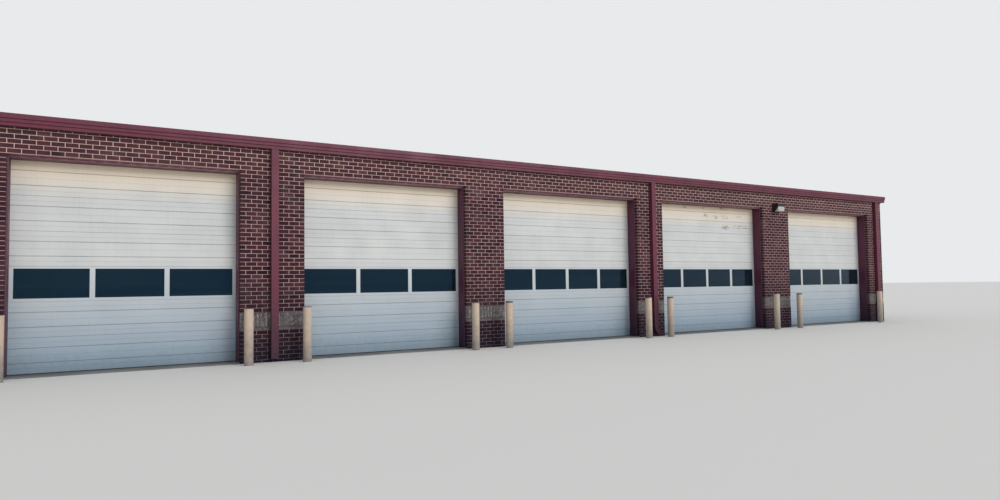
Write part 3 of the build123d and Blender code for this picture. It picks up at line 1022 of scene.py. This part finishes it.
# Sectional overhead doors: six sections of ribbed steel in off-white enamel, the third from the
# floor glazed. Dirt and painted shade darken the ribs and joints, the head is made warm and light
# as painted light, the lower half is painted bluish grey as painted shade, the foot is darker with
# splash dirt and painted shade, and the top of the fifth door is scuffed.
door_low, door_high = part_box("door_1_sections")
section_count = 6
section_gap = 0.0006
section_height = (door_high.z - door_low.z + section_gap) / section_count
door_height = section_count * section_height
strong_ribs = (0.178, 0.432)
light_ribs = (0.089, 0.305, 0.520)
joint_half_width = 0.008
strong_half_width = 0.010
light_half_width = 0.007
joint_dirt_and_shade_share = 0.8
light_rib_dirt_and_shade_share = 0.35
least_rib_dirt_and_shade = 0.38
most_rib_dirt_and_shade = 0.6
glazed_section = 2
number_slack = 0.1
head_light_starts_below_top = 0.62
head_light_ends_below_top = 0.03
head_light_share = 0.8
foot_shade_height = 2.0
foot_shade_share = 0.86
enamel_white = srgb(212, 214, 213)
enamel_grey = srgb(202, 205, 206)
head_painted_light = srgb(250, 228, 196)
door_foot_shade = srgb(120, 149, 174)
door_streak = srgb(150, 146, 138)
rib_dirt_and_shade_grey = srgb(104, 104, 103)
foot_dirt_and_shade_grey = srgb(94, 108, 118)
scuff_grey = srgb(88, 84, 84)
door_streak_share = 0.05
foot_dirt_and_shade_share = 0.4
scuffed_door = 5
scuff_share = 0.75
sheet_wave_depth = 0.006
sheet_wave_stretch = (0.7, 0.7, 3.0)

# Each scuff: how far along the fifth doorway, how high, half its length, half its height.
scuffs = (
    (1.23, 3.66, 0.08, 0.070),
    (2.01, 3.64, 0.06, 0.060),
    (2.84, 3.66, 0.22, 0.040),
    (2.08, 3.43, 0.12, 0.075),
    (2.51, 3.38, 0.08, 0.075),
    (2.88, 3.43, 0.18, 0.024),
    (2.91, 3.36, 0.17, 0.028),
    (3.51, 3.43, 0.14, 0.026),
    (2.90, 3.09, 0.20, 0.085),
    (3.62, 3.15, 0.46, 0.024),
    (3.68, 3.09, 0.50, 0.018),
)


def greatest(tree, first, *others):
    """The greatest of several masks at each point."""
    for other in others:
        first = reckon(tree, "MAXIMUM", first, other)
    return first


door_enamel, door_tree, door_shader = new_material("door_enamel")
door_place = object_place(door_tree)
door_axes = axes_of(door_tree, door_place)
door_wear = use_group(door_tree, wear_group, Streak_width=0.03, Splash_height=0.5)
door_rise = reckon(door_tree, "SUBTRACT", door_axes["Z"], door_low.z)
sections_up = reckon(door_tree, "DIVIDE", door_rise, section_height)
within = product(door_tree, reckon(door_tree, "FRACT", sections_up), section_height)
section_number = reckon(door_tree, "FLOOR", sections_up)
is_glazed = reckon(door_tree, "COMPARE", section_number, glazed_section, number_slack)

joint_line = line_mask(door_tree, within, 0.0, joint_half_width)
rib_lines = [product(door_tree, joint_line, joint_dirt_and_shade_share)]
for centre in strong_ribs:
    rib_lines.append(line_mask(door_tree, within, centre, strong_half_width))
for centre in light_ribs:
    light_line = line_mask(door_tree, within, centre, light_half_width)
    rib_lines.append(product(door_tree, light_line, light_rib_dirt_and_shade_share))
rib_strength = product(
    door_tree,
    reckon(door_tree, "SUBTRACT", 1.0, is_glazed),
    spread(door_tree, door_wear["Patches"], 0.3, 0.7, least_rib_dirt_and_shade, most_rib_dirt_and_shade),
)
# Dirt and painted shade: the ribs and section joints are darkened grey.
rib_dirt_and_shade = product(door_tree, greatest(door_tree, *rib_lines), rib_strength)

enamel = layer(door_tree, enamel_white, enamel_grey, door_wear["Patches"], 0.3, 0.7)
# Painted light: the head of each door is made warm and light.
head_light_starts = door_height - head_light_starts_below_top
head_light_ends = door_height - head_light_ends_below_top
head_lit = layer(
    door_tree, enamel, head_painted_light, door_rise, head_light_starts, head_light_ends, head_light_share
)
# Painted shade: the lower half of each door is made bluish grey, strongest at the foot.
foot_shaded = layer(door_tree, head_lit, door_foot_shade, door_rise, foot_shade_height, 0.0, foot_shade_share)
door_streaked = stain(door_tree, foot_shaded, door_streak, door_wear["Streaks"], door_streak_share)
ribbed = mix_colours(door_tree, rib_dirt_and_shade, door_streaked, rib_dirt_and_shade_grey)
# Splash dirt and painted shade: darker and bluer near the foot.
footed_and_shaded = stain(door_tree, ribbed, foot_dirt_and_shade_grey, door_wear["Splash"], foot_dirt_and_shade_share)

scuffed_left = opening_edges[scuffed_door - 1][0]
scuff_marks = [
    product(
        door_tree,
        line_mask(door_tree, door_axes["X"], scuffed_left + along, half_length),
        line_mask(door_tree, door_axes["Z"], height, half_height),
    )
    for along, height, half_length, half_height in scuffs
]
scuff_noise = mottle(door_tree, scale=26.0, detail=3.0, Vector=door_place)
scuff_breaks = spread(door_tree, scuff_noise, 0.46, 0.56)
scuffed = product(door_tree, greatest(door_tree, *scuff_marks), scuff_breaks, scuff_share)
door_colour = mix_colours(door_tree, scuffed, footed_and_shaded, scuff_grey)
door_gloss = spread(door_tree, door_wear["Patches"], 0.3, 0.7, 0.38, 0.52)
feed(door_shader, {"Base Color": door_colour, "Roughness": door_gloss})
wave_place = stretch(door_tree, door_place, sheet_wave_stretch)
sheet_waves = mottle(door_tree, scale=1.6, detail=2.0, Vector=wave_place)
bump(door_tree, door_shader, sheet_waves, sheet_wave_depth)
dress([f"door_{n}_sections" for n in bays], door_enamel)
dress([f"door_{n}_window_frame" for n in bays], door_enamel)

# Panes of clear glass, held in the rebates of the glazed sections. Their colour is made dark bluish
# as painted shade for the dark workshop behind, so that they look nearly black, and a film of dust
# lies on them.
# Painted shade: the panes' colour is made dark, standing in for the dark workshop behind.
clean_glass_painted_dark = srgb(52, 84, 106)
dusty_glass_painted_dark = srgb(78, 102, 118)
glass_reflection = (0.16, 0.38, 0.66, 1.0)

pane_glass, pane_tree, pane_shader = new_material("pane_glass")
pane_dust = mottle(pane_tree, scale=6.0, detail=5.0)
feed(
    pane_shader,
    {
        "Base Color": layer(pane_tree, clean_glass_painted_dark, dusty_glass_painted_dark, pane_dust, 0.4, 0.75),
        "Roughness": spread(pane_tree, pane_dust, 0.4, 0.8, 0.02, 0.09),
        "Transmission Weight": 0.86,
        "IOR": 1.45,
        "Specular Tint": glass_reflection,
    },
)
dress(["door_glass"], pane_glass)

# Seals of black rubber, one strip along the foot of each door, which closes on the floor.
# Dust and grit stick to them.
black_rubber = srgb(28, 28, 30)
rubber_dust = srgb(74, 70, 66)

seal_rubber, seal_tree, seal_shader = new_material("seal_rubber")
seal_dust = mottle(seal_tree, scale=14.0, detail=5.0)
seal_dusty = layer(seal_tree, black_rubber, rubber_dust, seal_dust, 0.4, 0.8, share=0.5)
feed(seal_shader, {"Base Color": seal_dusty, "Roughness": 0.8})
bump(seal_tree, seal_shader, seal_dust, depth=0.002)
dress(["door_bottom_seals"], seal_rubber)

# Low gable roof of standing-seam sheet in pale grey, seamed up the slope, with a ridge cap
# bent from the same sheet over the joint of the two slopes.
roof_colours = ((156, 157, 154), (144, 145, 144), (104, 100, 96))
roof_sheet = painted_metal("roof_sheet", roof_colours, roughness=0.45, splash_and_shade_share=0.0)
dress(["roof_front", "roof_back", "ridge_cap"], roof_sheet)

# Gutters, downspouts and rake trim, folded from thin sheet and fixed to the walls. They are
# factory-painted dark red, faded by the sun, and darker near the ground, partly splash dirt and
# partly painted shade.
# The last colour darkens streaks, and near the ground it also stands for painted shade.
trim_colours = ((108, 47, 66), (98, 45, 63), (42, 29, 46))
trim_paint = painted_metal(
    "trim_paint", trim_colours, roughness=0.40, splash_and_shade_share=0.85, splash_and_shade_height=1.8
)
dress(["front_gutter", "back_gutter", "front_downspouts", "back_downspouts"], trim_paint)
dress(["left_rake_trim", "right_rake_trim"], trim_paint)

# Wall light over the pier before the last bay: a dark bronze casting with a hood, and a ribbed
# pale lens in its sloping front.
bronze_colours = ((36, 34, 36), (44, 42, 43), (60, 56, 54))
light_bronze = painted_metal("light_bronze", bronze_colours, roughness=0.5, splash_and_shade_share=0.0)
dress(["wall_light_housing"], light_bronze)
lens_glass, lens_tree, lens_shader = new_material("lens_glass")
lens_place = object_place(lens_tree)
lens_wave = add_node(
    lens_tree, "ShaderNodeTexWave", {"bands_direction": "X"}, Vector=lens_place, Scale=16.0
)
lens_ribs = lens_wave.outputs["Fac"]
# Painted shade: the lens is coloured lighter and darker in bands along its ribs.
lens_banded_shade = mix_colours(lens_tree, lens_ribs, srgb(176, 176, 172), srgb(206, 206, 202))
feed(lens_shader, {"Base Color": lens_banded_shade, "Roughness": 0.25})
bump(lens_tree, lens_shader, lens_ribs, depth=0.004)
dress(["wall_light_lens"], lens_glass)

# Guard posts: steel pipes filled with concrete and painted beige, scuffed and streaked, and darker
# towards the foot, partly splash dirt and partly painted shade. The flat tops are coloured dark,
# and the dark runs a little way over their rims, furthest on the posts left of the last three
# doors.
darkest_post_doors = (4, 5, 6)
darkest_post_outside_door = 0.09
darkest_half_width = 0.35
darkest_reach = 0.042
least_rim_reach = 0.006
most_rim_reach = 0.028
rim_fade = 0.006
rim_dark_share = 0.9
top_dark_colour = srgb(52, 48, 48)
top_fleck_colour = srgb(104, 94, 86)

# The last colour darkens streaks, and towards the foot it also stands for painted shade.
post_colours = ((212, 189, 167), (191, 177, 161), (118, 116, 117))
post_paint = painted_metal(
    "post_paint", post_colours, roughness=0.55, splash_and_shade_share=0.85, splash_and_shade_height=0.9
)
post_tree = post_paint.node_tree
post_shader = post_tree.nodes["Principled BSDF"]
post_body = post_shader.inputs["Base Color"].links[0].from_socket
post_place = object_place(post_tree)
post_axes = axes_of(post_tree, post_place)
post_grain = use_group(post_tree, grain_group, Speckle_size=0.012, Drift_size=0.4)
# The flat tops, and a little way over the rims, are coloured dark.
darkened_top_colour = layer(post_tree, top_dark_colour, top_fleck_colour, post_grain["Speckle"], 0.35, 0.7)
run_over = mottle(post_tree, scale=1.3, detail=2.0, Vector=post_place)
reaches = [spread(post_tree, run_over, 0.42, 0.58, least_rim_reach, most_rim_reach)]
for door in darkest_post_doors:
    post_x = opening_edges[door - 1][0] - darkest_post_outside_door
    near_post = line_mask(post_tree, post_axes["X"], post_x, darkest_half_width)
    reaches.append(product(post_tree, near_post, darkest_reach))
rim_reach = greatest(post_tree, *reaches)
below_top = reckon(post_tree, "SUBTRACT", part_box("bollards")[1].z, post_axes["Z"])
past_rim = reckon(post_tree, "SUBTRACT", rim_reach, below_top)
on_rim = spread(post_tree, past_rim, 0.0, rim_fade, new_high=rim_dark_share)
is_top = spread(post_tree, facing(post_tree)["Z"], 0.5, 0.8)
darkened_top_mask = greatest(post_tree, is_top, on_rim)
feed(post_shader, {"Base Color": mix_colours(post_tree, darkened_top_mask, post_body, darkened_top_colour)})
dress(["bollards"], post_paint)
